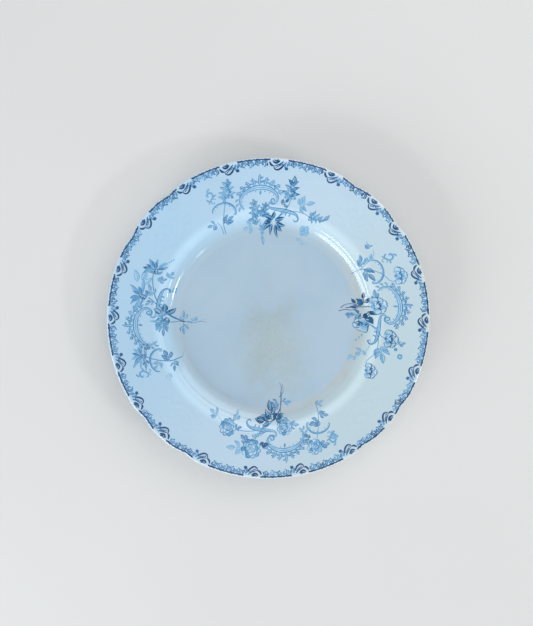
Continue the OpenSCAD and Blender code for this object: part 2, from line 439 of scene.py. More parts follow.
def flower_head(ink, foot, degrees, length, width, tone):
    """A pointed head crowded with florets, with leaf tips standing out along its sides."""
    angle = radians(degrees)
    foot = Vector(foot)
    side = ray(angle + pi / 2, 1)
    axis = ray(angle, 1)
    for pair in range(3):
        for hand in (-1, 1):
            leaf(ink, foot + axis * length * (0.1 + 0.24 * pair), angle + hand * radians(62 - 12 * pair),
                 width * (0.62 - 0.08 * pair), width * 0.2, tone * vary(0.8, 1.1), -0.2 * hand, veins=2)
    leaf(ink, foot + axis * length * 0.66, angle, length * 0.4, width * 0.24, tone, veins=3)
    rows = 5
    for row in range(rows):
        t = row / rows
        count = 4 - row * 3 // 4
        for k in range(count):
            across = (k + 0.5) / count - 0.5
            centre = foot + axis * length * (0.08 + 0.72 * t) + side * across * width * (0.78 - 0.5 * t)
            floret(ink, centre + ray(vary(0, 6.3), 0.3), width * 0.098, tone * vary(0.5, 1.2),
                   5 + (row + k) % 2)


def petal(ink, foot, angle, length, width, tone, layer, ruffle):
    """A round-ended petal: nearly white, with a drawn rim, a dark foot and a few fine lines."""
    foot = Vector(foot)
    axis = [foot + ray(angle, length * k / 7) for k in range(8)]
    ink.ribbon(axis, lambda t: width * (0.3 + 0.7 * hump(t * 0.72)) * (1 if t < 1 else 0.6),
               lambda t: tone * (0.52 - 0.46 * t ** 0.6), layer)
    side = ray(angle + pi / 2, 1)
    rim = []
    for k in range(13):
        s = k / 6 - 1
        wave = 1 + ruffle * cos(5 * pi * s)
        across = side * width * 0.5 * sin(s * pi / 2)
        rim.append(foot + across + ray(angle, length * (1.03 - 0.6 * s ** 4) * wave))
    ink.ribbon(rim, lambda t: 0.5 - 0.26 * cos(2 * pi * t + angle), min(tone * 1.25, 1), layer + 1)
    for s in (-0.7, -0.4, -0.12, 0.12, 0.4, 0.7):
        reach = vary(0.45, 0.8)
        line = [foot + side * width * s * t * 0.75 + ray(angle, length * t)
                for t in (0.1, reach * 0.6, reach)]
        ink.ribbon(line, lambda t: 0.4 - 0.3 * t, tone, layer + 1)


def disc(ink, centre, radius, tone, layer):
    """A round dot."""
    curve = [Vector(centre) + Vector((radius * cos(pi * (1 - k / 6)), 0)) for k in range(7)]
    ink.ribbon(curve, lambda t: 2 * radius * sqrt(max(1 - (2 * t - 1) ** 2, 0.02)), tone, layer)


def poppy(ink, centre, degrees, size, tone, layer=3):
    """An open cupped flower: back petals, a dark heart and ruffled front petals."""
    angle = radians(degrees)
    centre = Vector(centre)
    cup = centre - ray(angle, size * 0.25)
    for turn, reach in ((-0.75, 1.15), (0.7, 1.2), (0, 1.3)):
        petal(ink, cup, angle + turn, size * reach, size * 0.95, tone * 0.8, layer, 0.05)
    heart = [centre + ray(angle + a, size * 0.34) for a in (-1.2, -0.6, 0, 0.6, 1.2)]
    ink.ribbon(heart, lambda t: size * 0.2 * (0.4 + hump(t)), min(tone * 1.2, 1), layer + 2)
    for hand, reach in ((-1, 1.15), (1, 1.0)):
        petal(ink, cup, angle + hand * 1.35, size * reach, size * 0.85, tone, layer + 3, 0.07)
    petal(ink, cup - ray(angle, size * 0.35), angle + vary(-0.3, 0.3), size * 0.85, size * 0.95,
          tone * 0.9, layer + 5, 0.06)
    for hand in (-1, 1):
        fold = [cup + ray(angle + hand * a, size * reach)
                for a, reach in ((0.5, 0.3), (0.75, 0.62), (0.6, 0.9))]
        ink.ribbon(smooth(fold, 0.6), lambda t: 0.2 + 0.8 * hump(t), min(tone * 1.2, 1), layer + 7)
    for k in range(5):
        disc(ink, cup + ray(angle + (k - 2) * 0.3, size * 0.72), size * 0.055, tone, layer + 8)


def rose(ink, centre, angle, size, tone, layer=3):
    """A full flower: rings of small scalloped petals round a pale rosette."""
    for ring, (count, reach) in enumerate(((11, 0.8), (8, 0.52), (5, 0.26))):
        for k in range(count):
            turned = angle + (k + ring / 2 + vary(-0.15, 0.15)) * 2 * pi / count
            grown = size * vary(0.2, 0.28)
            middle = Vector(centre) + ray(turned, size * reach)
            shade = tone * vary(0.6, 1.3)
            disc(ink, middle, grown * 1.1, shade * rng.choice((0.05, 0.2, 0.6)), layer + 2 * ring)
            rim = [middle + ray(turned + a, grown) for a in (-1.7, -1.1, -0.5, 0, 0.5, 1.1, 1.7)]
            ink.ribbon(rim, lambda t: 0.2 + 0.4 * hump(t), min(shade, 1), layer + 2 * ring + 1)
            disc(ink, middle - ray(turned, grown * 0.9), 0.34, min(tone * 1.3, 1), layer + 2 * ring + 1)
    disc(ink, centre, size * 0.2, tone * 0.1, layer + 6)
    ink.ribbon(volute(centre, size * 0.24, angle, 1.4, 0.5), 0.32, tone, layer + 7)


def cornflower(ink, centre, degrees, size, tone, layer=3):
    """A flower seen from the side: a leafy cup and a loose fan of pointed rays."""
    angle = radians(degrees)
    centre = Vector(centre)
    blade = swell(0.6, 0.8)
    for count, share, palest, darkest, rise in ((5, 1.15, 0.5, 0.7, 0), (4, 0.8, 0.75, 1.05, 3)):
        for k in range(count):
            turned = angle + (k - (count - 1) / 2) * radians(38) + vary(-0.12, 0.12)
            reach = size * share * vary(0.8, 1.1)
            shade = tone * vary(palest, darkest)
            foot = centre + ray(turned, size * 0.1)
            width = size * vary(0.22, 0.3)
            bend = vary(-0.4, 0.4)
            axis = [foot + ray(turned + bend * t, reach * t) for t in (k / 6 for k in range(7))]
            outlined(ink, axis, lambda t: width * blade(t), shade * 0.8,
                     (min(shade * 1.35, 1), shade * 0.5), 0.34, layer + rise)
    leaf(ink, centre - ray(angle, size * 0.38), angle, size * 0.62, size * 0.36, min(tone * 1.25, 1),
         bend=0, layer=layer + 5, veins=3)
    for hand in (-1, 1):
        leaf(ink, centre - ray(angle, size * 0.3), angle + hand * 1.25, size * 0.6, size * 0.2, tone,
             layer=layer + 4, veins=0)


def rayed_band(ink, points, width_at, tone, beads=True):
    """A scroll's band: a pale ribbon between drawn edges, with a line and beads inside its curve."""
    curve = smooth(points, 0.6)
    last = len(curve) - 1
    outlined(ink, curve, width_at, tone * 0.25, (tone, min(tone * 1.4, 1)), 0.45, 1)
    ink.ribbon(curve[2:-2], lambda t: 0.18 + 0.3 * hump(t), tone * 0.8, 3)
    if beads:
        for i in range(5, last - 2, 7):
            outward = side_of(curve, i) * (width_at(i / last) * 0.5 + vary(0.7, 1.1))
            disc(ink, curve[i] - outward, vary(0.3, 0.55), tone * vary(0.5, 1), 1)


def flame(ink, foot, angle, length, width, tone, curl=0.6, layer=2):
    """A single leaf that winds over towards its tip; curl is the whole turn in radians."""
    steps = 8
    axis = [Vector(foot)]
    for k in range(steps):
        axis.append(axis[-1] + ray(angle + curl * ((k + 0.5) / steps) ** 1.5, length / steps))
    outlined(ink, axis, lambda t: width * (0.55 + 0.7 * t) * (1 - t ** 2.2) ** 0.6 + 0.1, tone * 0.16,
             (tone, tone * 1.25), min(0.45, width * 0.32), layer)


def crest(ink, foot, angle, length, tone, curl):
    """A leaf of a scroll's crest: a curling tongue with a short lobe on each side of its foot."""
    start = Vector(foot)
    for hand, share, reach in ((-1, 0.05, 0.6), (1, 0.1, 0.55), (copysign(1, curl), 0.5, 0.4)):
        root = start + ray(angle, length * share)
        flame(ink, root, angle + hand * 0.55, length * reach, 1.3, tone * vary(0.7, 1.0),
              curl=hand * 1.1, layer=1)
    flame(ink, start, angle - curl * 0.3, length, 1.9, tone, curl=curl)


# The scrolls that all four sprays share and a stem that two of them have, in the ornament's plane
C_SCROLL = [(-15.5, 90.5), (-17.5, 94), (-16.5, 99), (-11.5, 103), (-4, 105.2), (3.5, 105), (9.5, 102.4),
            (12.8, 98.5), (12.3, 94.8), (9.2, 93), (7, 94.3)]
TAIL_SCROLL = [(7, 94.3), (5.4, 92), (7.2, 89.8), (14, 88.9), (24.5, 88.3), (31, 87), (33.5, 83.8),
               (31, 82), (29.6, 83.4)]
SIDE_ARC = [(-41.5, 95.5), (-40.2, 98), (-35.5, 99.8), (-30, 99.4), (-25.5, 97), (-23, 93), (-23.6, 89),
            (-25.4, 89.6)]
SIDE_STEM = [(-39.5, 77.5), (-37.6, 84.3), (-33.3, 92), (-29.6, 98.6), (-25.5, 105)]
TOP_CURL = [(-41, 103), (-38.2, 105), (-35.6, 107.6), (-36.8, 110.6), (-39.8, 109.6), (-38.8, 108)]


def scroll_frame(ink, tone):
    """The C scroll with its crest, the tail, the side arc and the small curl above it."""
    rayed_band(ink, C_SCROLL, lambda t: 1.5 + 2.6 * hump(min(t * 1.08, 1)) ** 2 * (0.3 + t), tone)
    rayed_band(ink, TAIL_SCROLL, lambda t: 1.5 + 1.7 * hump(t) ** 2 - 0.7 * t, tone, beads=False)
    rayed_band(ink, SIDE_ARC, lambda t: 0.9 + 0.8 * t, tone * 0.9)
    rayed_band(ink, TOP_CURL, lambda t: 0.8 + 0.5 * t, tone * 0.8, beads=False)
    for x, y, degrees, length in (
            (-14.8, 101.6, -62, 5), (-11.6, 104, -42, 5.4), (-8, 105.8, -26, 5.4), (-4.4, 106.8, -12, 6),
            (-0.6, 107.2, 2, 8), (3.2, 106.8, 14, 6.2), (6.8, 105.6, 28, 6), (10, 103.8, 44, 5.8),
            (12.8, 100.8, 60, 5.2)):
        crest(ink, (x, y), radians(degrees), length, tone * vary(0.85, 1.1),
              curl=copysign(0.35 + abs(degrees) / 50, degrees))
    for length, width, curl, places in (
            (3.6, 1.6, -1.2, ((-18, 98.5, -85), (-18.8, 95.5, -100), (-18.2, 92.5, -120))),
            (3, 1.3, 1.2, ((17, 88.2, 150), (21, 87.8, 160), (25, 87.5, 170))),
            (3.4, 1.2, 1.4, ((-39, 104.5, -70), (-36, 106, 40), (-38.5, 111, 20)))):
        for x, y, degrees in places:
            flame(ink, (x, y), radians(degrees), length, width, tone * 0.8, curl)
    flame(ink, (-0.5, 103), pi, 3, 1.5, tone)
    ink.ribbon(volute((-37, 103), 2.6, radians(60), -0.9), 0.6, tone * 0.8, 1)
    ink.ribbon(volute((9.6, 95.4), 2.7, radians(140), 1.0), lambda t: 1.2 - 0.5 * t, tone, 4)


def dark_leaf(ink, foot, degrees, length):
    """One leaf of the dark star in the fern spray."""
    leaf(ink, foot, radians(degrees), length, 3.3, vary(0.86, 1.0), layer=6, veins=0)


# The strokes of the four sprays, in the order in which they are drawn. Each entry is a motif and
# then, for each copy of it, what it is drawn with.
FERN_STROKES = [
    (stem, (SIDE_STEM, 0.9, 0.5), ([(-41.5, 78), (-40.5, 84), (-42, 88)], 0.7, 0.6)),
    (flower_head, ((-26.5, 101.5), 16, 14, 12, 0.56)),
    (sprig, ((-27, 102), -60, 3, 90, 5, 2.4, 0.4), ((-37, 85), 75, 5, 60, 9, 2.6, 0.62),
     ((-43, 87), -80, 4, 110, 7, 2.4, 0.46)),
    (flower_head, ((22.5, 97.5), 2, 17, 13, 0.7)),
    (sprig, ((17.5, 92.5), 40, 4, 120, 6, 2.2, 0.7)),
    (stem, ([(12, 80), (17, 86), (22, 92), (23.5, 98)], 0.9, 0.6),
     ([(12, 80), (21, 87.5), (34, 90), (43, 89), (52, 90)], 0.8, 0.5)),
    (sprig, ((31.5, 94.5), 62, 6, 150, 10, 3, 0.36)),
    (flower_head, ((42, 89.5), 84, 13, 10, 0.55)),
    (leaf, ((54.5, 91), radians(25), 6.5, 3, 0.5)),
    (flower_head, ((-5.5, 83), -6, 13.5, 12, 0.6), ((0.5, 83), 14, 11, 10, 0.66)),
    (sprig, ((-3, 81), -84, 4, 60, 9, 2.4, 0.5)),
    (stem, ([(-3, 66), (-2.5, 74), (-3, 82)], 0.8, 0.5)),
    (dark_leaf, ((10, 81), -72, 9.5), ((9, 80), -105, 9), ((8, 78), -122, 9), ((9, 82), 20, 6),
     ((12, 81.5), 74, 9), ((13, 79.5), 100, 10), ((14, 78), 128, 8), ((12.5, 78), 160, 11),
     ((9.5, 78), 192, 9)),
    (sprig, ((-1, 73.5), 180, 7, 300, 9.5, 3.2, 0.4), ((-11, 77), -95, 5, 130, 8, 3, 0.28)),
    (rose, ((40.5, 78.5), 0.4, 2.4, 0.26), ((44.5, 79.5), 0.4, 2.2, 0.26), ((42, 76), 0.4, 2.2, 0.26),
     ((46.5, 76.8), 0.4, 2, 0.26)),
    (leaf, *((foot, radians(70), 4.5, 1.8, 0.2, 0.15, 2, 1) for foot in (
        (41, 68.5), (44.5, 67.5), (38, 69.5)))),
]

POPPY_STROKES = [
    (stem, ([(-40, 77), (-40, 84), (-35.5, 91), (-28, 98), (-21, 102), (-20, 106)], 0.7, 0.6),
     ([(-40, 84), (-42.5, 92), (-45, 98.5), (-49, 100)], 0.7, 0.5)),
    (poppy, ((-22.5, 109), 10, 5.6, 0.55)),
    (sprig, ((-51, 98.5), -70, 4, 110, 5.5, 2, 0.42), ((-39, 86), 70, 5, 60, 12, 3.2, 0.6),
     ((-41, 86), -70, 4, 60, 9, 2.8, 0.55), ((-42, 92), -40, 3, 80, 6, 2.4, 0.42)),
    (poppy, ((26, 97.5), -4, 6.4, 0.85)),
    (stem, ([(13, 79), (18, 87), (24, 91), (26, 96)], 0.8, 0.6)),
    (disc, ((33, 104), 1.3, 0.5, 3), ((37.5, 108.4), 1.9, 0.45, 3), ((37.5, 108.4), 1.0, 0.2, 4)),
    (sprig, ((29, 104.5), -20, 3, 70, 5, 2, 0.5), ((33, 92), 66, 5, 90, 12, 3.8, 0.42)),
    (stem, ([(13, 80), (22, 88), (38, 90), (50, 85.5), (56, 88)], 0.8, 0.5)),
    (poppy, ((57.5, 90.5), -20, 5.8, 0.72), ((-2.5, 87.5), -8, 7.4, 0.72, 4)),
    (sprig, ((-7, 87), -84, 3, 50, 9, 3, 0.55)),
    (stem, ([(-5, 64), (-4, 70), (-3, 78), (-2.5, 87)], 1.0, 0.92)),
    (sprig, *((foot, degrees, count, 120, 9.5, 2.8, tone, 6) for foot, degrees, count, tone in (
        ((-6, 78), -80, 6, 1.0), ((-3, 74), -110, 5, 0.95), ((2, 80), 70, 5, 1.0),
        ((8, 78.5), 80, 4, 0.9), ((4, 76), 175, 4, 0.75)))),
    (poppy, ((15.5, 76.5), 170, 6.8, 0.92, 6)),
    (stem, ([(-6, 60), (-9, 64), (-8, 70), (-4, 74)], 0.9, 0.92),
     ([(-2, 58), (-3, 63), (-1, 68), (-2, 73)], 0.9, 0.92)),
    (sprig, ((1, 68), 110, 5, 100, 6.5, 2.6, 0.5)),
    (stem, ([(30, 84), (40, 83), (48, 79), (56, 74)], 0.6, 0.3)),
    (sprig, ((41, 81), 120, 3, 110, 7.5, 3, 0.26), ((50, 77), 125, 3, 70, 7, 2.4, 0.3)),
    (disc, *(((26 + 1.6 * k, 77 - 0.9 * k + k % 2), 0.6, 0.42, 3) for k in range(6))),
]

ROSE_STROKES = [
    (stem, (SIDE_STEM, 0.8, 0.5)),
    (rose, ((-23, 108), 0, 5.6, 0.6)),
    (sprig, ((-27.5, 108.5), -75, 3, 80, 5.5, 2.8, 0.58), ((-21, 102), 160, 3, 100, 5, 2.6, 0.62),
     ((-35, 90), 85, 4, 90, 8, 3.4, 0.66), ((-37, 86), -60, 4, 90, 7, 2.8, 0.55),
     ((-39, 80), -95, 3, 60, 6.5, 2, 0.34), ((-38, 104), -40, 3, 120, 5, 2.6, 0.44)),
    (rose, ((26, 104), 0.3, 7.2, 0.62)),
    (sprig, ((20, 101), -100, 3, 50, 6.5, 3, 0.85), ((30, 100), 130, 3, 80, 6.5, 3, 0.6)),
    (stem, ([(12, 80), (18, 88), (23, 95), (26, 103)], 0.9, 0.6)),
    (sprig, ((33, 104), 75, 4, 120, 10, 3.4, 0.34)),
    (stem, ([(6, 80), (16, 87), (30, 91), (44, 92)], 0.9, 0.5)),
    (rose, ((49, 92), 0.1, 6.8, 0.68)),
    (sprig, ((43, 91), -110, 3, 90, 5, 2.2, 0.6), ((44, 85), 170, 4, 110, 6, 3, 0.28)),
    (stem, ([(55, 90), (61, 87), (67, 82)], 0.5, 0.3)),
    (sprig, ((62, 87), 100, 4, 120, 7.5, 2.8, 0.32)),
    (rose, ((-2.5, 87), 0.2, 6.6, 0.62, 4)),
    (sprig, ((-7, 87), -86, 4, 70, 7.5, 2.4, 0.5)),
    (flame, *(((14 + 2.2 * k, 89 + 1.6 * k), radians(50 + 12 * k), 4.6, 1.9, 0.42, 1.2)
              for k in range(5))),
    (sprig, ((10, 82.5), 95, 3, 44, 13, 4.6, 0.98, 6), ((9, 82), 170, 3, 70, 13.5, 5.4, 1.0, 6),
     ((8, 82), -110, 3, 50, 10, 4, 0.95, 6)),
    (stem, ([(-5, 60), (-3, 68), (0, 75), (8, 82)], 1.2, 0.92),
     ([(-5, 60), (-7, 56), (-5.5, 52)], 0.8, 0.85), ([(-3, 68), (-1, 76), (-2, 84)], 0.8, 0.6)),
    (sprig, ((-1, 70), 95, 4, 60, 12, 3.2, 0.66), ((-4, 68), -80, 3, 60, 9, 2.2, 0.45)),
    (stem, ([(-2, 64), (-8, 60), (-9, 54)], 0.7, 0.8)),
]

CORNFLOWER_STROKES = [
    (stem, ([(-38, 76), (-37, 84), (-33, 92), (-29, 98), (-26, 102)], 0.9, 0.66),
     ([(-38, 76), (-34, 73.5), (-32, 72.5)], 0.6, 0.4)),
    (cornflower, ((-25, 104), 14, 8.5, 0.56)),
    (sprig, ((-28, 102), -70, 3, 60, 6, 2, 0.6), ((-22, 100), 110, 3, 60, 5, 2, 0.7),
     ((-36, 85), 80, 4, 70, 9, 3.2, 0.66), ((-38, 82), -70, 4, 80, 8, 2, 0.5),
     ((-34, 92), -30, 5, 110, 7, 1.8, 0.36), ((-46, 90), -70, 4, 70, 6, 1.2, 0.2)),
    (cornflower, ((22, 102), 8, 10, 0.64)),
    (stem, ([(0, 68), (6, 78), (16, 88), (22, 97)], 1.1, 0.7)),
    (sprig, ((24, 94), 60, 4, 90, 8, 2.6, 0.5), ((20, 93), -40, 3, 80, 6, 2, 0.56)),
    (leaf, ((32, 108), radians(60), 9, 4, 0.3), ((34, 105), radians(90), 9, 4, 0.3),
     ((31.5, 104), radians(130), 9, 4, 0.3)),
    (stem, ([(0, 68), (10, 82), (22, 91), (36, 97), (44, 98.5)], 1.0, 0.7)),
    (cornflower, ((45, 97.5), 62, 9, 0.7)),
    (sprig, ((45, 99), -10, 3, 60, 7, 2, 0.85), ((37, 93), 140, 4, 90, 6, 2.4, 0.44)),
    (disc, *(((52 + 2 * k, 93 - 0.9 * k), 0.7, 0.3, 3) for k in range(5))),
    (sprig, ((43, 86), 100, 4, 120, 6, 2.6, 0.4)),
    (cornflower, ((1.5, 84), 6, 9, 0.5, 4)),
    (sprig, ((0, 84), -86, 4, 50, 10, 2.2, 0.55), ((4, 84), 80, 3, 50, 9, 2.2, 0.5)),
    (stem, ([(0, 62), (1, 70), (0.5, 78), (1.5, 86)], 0.9, 0.66)),
    (leaf, *((foot, radians(degrees), length, 4.4, 0.95, 0.15, 6) for foot, degrees, length in (
        ((9, 82.5), 138, 9.5), ((11, 84), 88, 8), ((5.5, 81.5), -95, 7.5), ((9, 86), 35, 7),
        ((4.5, 85), -50, 6)))),
    (sprig, ((30, 82), 120, 3, 90, 6, 2.6, 0.4)),
    (stem, ([(-1, 66), (-1, 60), (0.5, 55), (-1, 50)], 0.8, 0.6),
     ([(0, 57), (3.5, 53), (5, 49)], 0.5, 0.5)),
    (sprig, ((0, 69), 90, 3, 50, 11, 2.2, 0.46), ((-1, 69), -88, 3, 50, 11, 2.4, 0.5),
     ((0, 62), 120, 3, 60, 7, 2, 0.34)),
]


# Each spray's flower, where its middle stands in degrees anticlockwise from +X, the tone of its
# scrolls and its own strokes
SPRAYS = (
    ("fern", 90.3, 0.46, FERN_STROKES),
    ("poppy", 4.1, 0.5, POPPY_STROKES),
    ("rose", 274.6, 0.46, ROSE_STROKES),
    ("cornflower", 178.2, 0.5, CORNFLOWER_STROKES),
)


def spray_print(flower, middle, scroll_tone, strokes):
    """One spray: the scrolls that all sprays share, then its own strokes in their order."""
    ink = Print(radians(middle))
    scroll_frame(ink, scroll_tone)
    for motif, *copies in strokes:
        for values in copies:
            motif(ink, *values)
    return ink.piece(flower + "_ink")


# ---- The border: a dark line under the edge, a plume at each repeat and small tufts between ----
# Where each plume stands, in degrees. The transfer was laid in pieces, so its gaps vary.
PLUME_PLACES = [-42, -22, -3, 15, 33, 45, 63, 83, 101, 118, 137, 156, 174, 192, 208, 223, 241, 261, 279,
                299]
# The transfer lies this far off centre in millimetres, towards this angle
BORDER_SHIFT = (0.35, radians(50))
# Depth of the dark line below the edge, and the number of its steps between two plumes
LINE_DEPTH = 1.8
LINE_STEPS = 48
# How far the line and the tufts stay from the plume before them and the one after, clockwise,
# and how far apart the tufts stand
LINE_CLEAR = (5.0, 6.0)
TUFT_CLEAR = (6.4, 7.4)
TUFT_STEP = 4.1


def from_edge(*points):
    """Points given by their place along the edge and their depth below it."""
    return smooth([(x, EDGE_R - depth) for x, depth in points], 0.6)


def plume(ink, tone):
    """A plume of three lobes that curl over from one foot, with a bud behind it."""
    lobes = (
        (1.3, 1.0, ((2.9, 4.6), (0.8, 7.6), (-0.9, 8.9), (-2.3, 9.0), (-3.5, 8.0), (-3.8, 6.6))),
        (0.95, 0.85, ((2.2, 2.8), (0.1, 4.8), (-2.2, 5.9), (-3.7, 6.4))),
        (1.35, 1.0, ((-3.9, 6.4), (-5.2, 5.9), (-6.1, 4.6), (-6.5, 3.3))),
        (1.55, 1.0, ((-0.2, 2.4), (-2.0, 3.9), (-3.4, 3.8), (-4.5, 2.5))),
        (1.1, 0.9, ((-0.8, 1.7), (-2.5, 2.5), (-3.8, 1.9))),
    )
    for width, share, places in lobes:
        ink.ribbon(from_edge(*places), lambda t: width * (0.35 + 0.65 * hump(t ** 0.8)), tone * share, 5)
    for k in range(5):
        disc(ink, (1.5 - 0.95 * k, EDGE_R - 4.9 - 0.6 * k), vary(0.35, 0.5), tone * 0.85, 6)
    leaf(ink, (3.7, EDGE_R - 3.2), radians(172), 5.2, 2.4, tone * 0.65, layer=4, veins=0)
    disc(ink, (4.3, EDGE_R - 7.8), 1.1, tone * 0.85, 7)
    flame(ink, (5.4, EDGE_R - 2.6), radians(165), 3.4, 1.5, tone * 0.6, curl=1.2, layer=4)


def tuft(ink, x, depth, tone, hand):
    """Two curled leaves back to back over a small volute, with beads at their tips."""
    root = Vector((x, EDGE_R - LINE_DEPTH - 0.5))
    flame(ink, root, pi - 0.75 * hand, depth * 1.1, 1.75, tone * vary(0.8, 1.3), curl=1.9 * hand)
    flame(ink, root - Vector((0.9 * hand, 0.2)), pi + 0.55 * hand, depth * 0.8, 1.45,
          tone * vary(0.6, 1.3), curl=-1.7 * hand)
    ink.ribbon(volute(root + Vector((-0.2 * hand, -1.1)), 0.9, 0, 0.9 * hand, 0.4), 0.5, tone * 1.2, 4)
    for across, share in ((-0.3, 0.98), (1.7, 0.72)):
        disc(ink, root + Vector((across * hand, -depth * share)), vary(0.35, 0.6),
             tone * vary(0.7, 1.5), 3)


def border_print():
    """The border: the plumes, and between each two of them the tufts and a stretch of the line."""
    ink = Print(0, BORDER_SHIFT)
    for place, following in zip(PLUME_PLACES, PLUME_PLACES[1:] + [PLUME_PLACES[0] + 360]):
        ink.middle = radians(place)
        plume(ink, vary(0.85, 1.0))
        ink.middle = radians(following)
        gap = radians(following - place) * DRAWN_R
        first, last = TUFT_CLEAR[0], gap - TUFT_CLEAR[1]
        count = max(1, round((last - first) / TUFT_STEP))
        for k in range(count):
            x = first + (last - first) * (k + 0.5) / count
            tuft(ink, x, vary(3.6, 5.0), vary(0.4, 0.64), 1 if k % 2 else -1)
        line = []
        for k in range(LINE_STEPS + 1):
            x = LINE_CLEAR[0] + (gap - sum(LINE_CLEAR)) * k / LINE_STEPS
            line.append(Vector((x, EDGE_R - LINE_DEPTH + 0.2 * sin(2.6 * x))))
        ink.ribbon(line, lambda t: 1.15 + 0.25 * sin(23 * t), 1.0, 5)
    return ink.piece("border_ink")


# ---- Materials ----
class Shader:
    """A material under construction, with short ways to add its nodes."""

    def __init__(self, name):
        self.material = bpy.data.materials.new(name)
        self.material.use_nodes = True
        self.tree = self.material.node_tree
        self.bsdf = self.tree.nodes["Principled BSDF"]
        metres = self.add("ShaderNodeTexCoord").outputs["Object"]
        self.place = self.vector("MULTIPLY", metres, (1 / MM, 1 / MM, 1 / MM))

    def add(self, kind, *values, **settings):
        """A new node with its settings, and with values for its first inputs."""
        node = self.tree.nodes.new(kind)
        for name, value in settings.items():
            setattr(node, name, value)
        for socket, value in zip(node.inputs, values):
            self.feed(socket, value)
        return node

    def feed(self, socket, value):
        if isinstance(value, bpy.types.NodeSocket):
            self.tree.links.new(value, socket)
        else:
            socket.default_value = value

    def surface(self, name, value):
        self.feed(self.bsdf.inputs[name], value)

    def math(self, operation, *values):
        return self.add("ShaderNodeMath", *values, operation=operation).outputs[0]

    def times(self, first, second):
        return self.math("MULTIPLY", first, second)

    def vector(self, operation, *values):
        node = self.add("ShaderNodeVectorMath", *values, operation=operation)
        return node.outputs["Value" if operation in ("LENGTH", "DOT_PRODUCT") else "Vector"]

    def mix(self, share, first, second, blend="MIX"):
        node = self.add("ShaderNodeMix", share, data_type="RGBA", blend_type=blend)
        # Inputs 6 and 7 and output 2 are the colours of this node.
        self.feed(node.inputs[6], first)
        self.feed(node.inputs[7], second)
        return node.outputs[2]

    def texture(self, kind, size, **settings):
        """A pattern whose features have a size in millimetres."""
        node = self.add(kind, self.place, **settings)
        node.inputs["Scale"].default_value = 1 / size
        return node

    def noise(self, size, detail):
        node = self.texture("ShaderNodeTexNoise", size)
        node.inputs["Detail"].default_value = detail
        return node.outputs["Fac"]

    def cells(self, size, feature):
        return self.texture("ShaderNodeTexVoronoi", size, feature=feature)

    def span(self, value, low, high, to_low=0.0, to_high=1.0):
        """Goes smoothly from to_low to to_high while the value goes from low to high."""
        node = self.add("ShaderNodeMapRange", value, low, high, to_low, to_high,
                        interpolation_type="SMOOTHSTEP")
        return node.outputs[0]

    def ramp(self, value, stops):
        node = self.add("ShaderNodeValToRGB", value)
        elements = node.color_ramp.elements
        while len(elements) < len(stops):
            elements.new(0.5)
        for element, (position, colour) in zip(elements, stops):
            element.position = position
            element.color = (*colour, 1)
        return node.outputs[0]

    def toward(self, degrees):
        """From -1 to 1: which way a point lies from the centre."""
        heading = (cos(radians(degrees)), sin(radians(degrees)), 0)
        unit = self.vector("NORMALIZE", self.vector("MULTIPLY", self.place, (1, 1, 0)))
        return self.vector("DOT_PRODUCT", unit, heading)

    def distance(self, centre, stretch=(1, 1, 0)):
        """Distance in the plane from a point, with each direction stretched."""
        away = self.vector("SUBTRACT", self.place, (*centre, 0))
        return self.vector("LENGTH", self.vector("MULTIPLY", away, stretch))

    def bump(self, *heights):
        """heights are pairs of a value and its depth in millimetres."""
        normal = None
        for value, depth in heights:
            node = self.add("ShaderNodeBump")
            self.feed(node.inputs["Distance"], depth * MM)
            self.feed(node.inputs["Height"], value)
            if normal:
                self.feed(node.inputs["Normal"], normal)
            normal = node.outputs[0]
        self.surface("Normal", normal)


def glaze_surface(shader):
    """What the glaze and the prints under it share: the gloss and the slight unevenness."""
    shader.surface("IOR", 1.52)
    shader.surface("Roughness", shader.span(shader.noise(9, 3), 0.35, 0.75, 0.03, 0.07))
    return (shader.noise(14, 1), 0.16), (shader.noise(2.4, 2), 0.012)


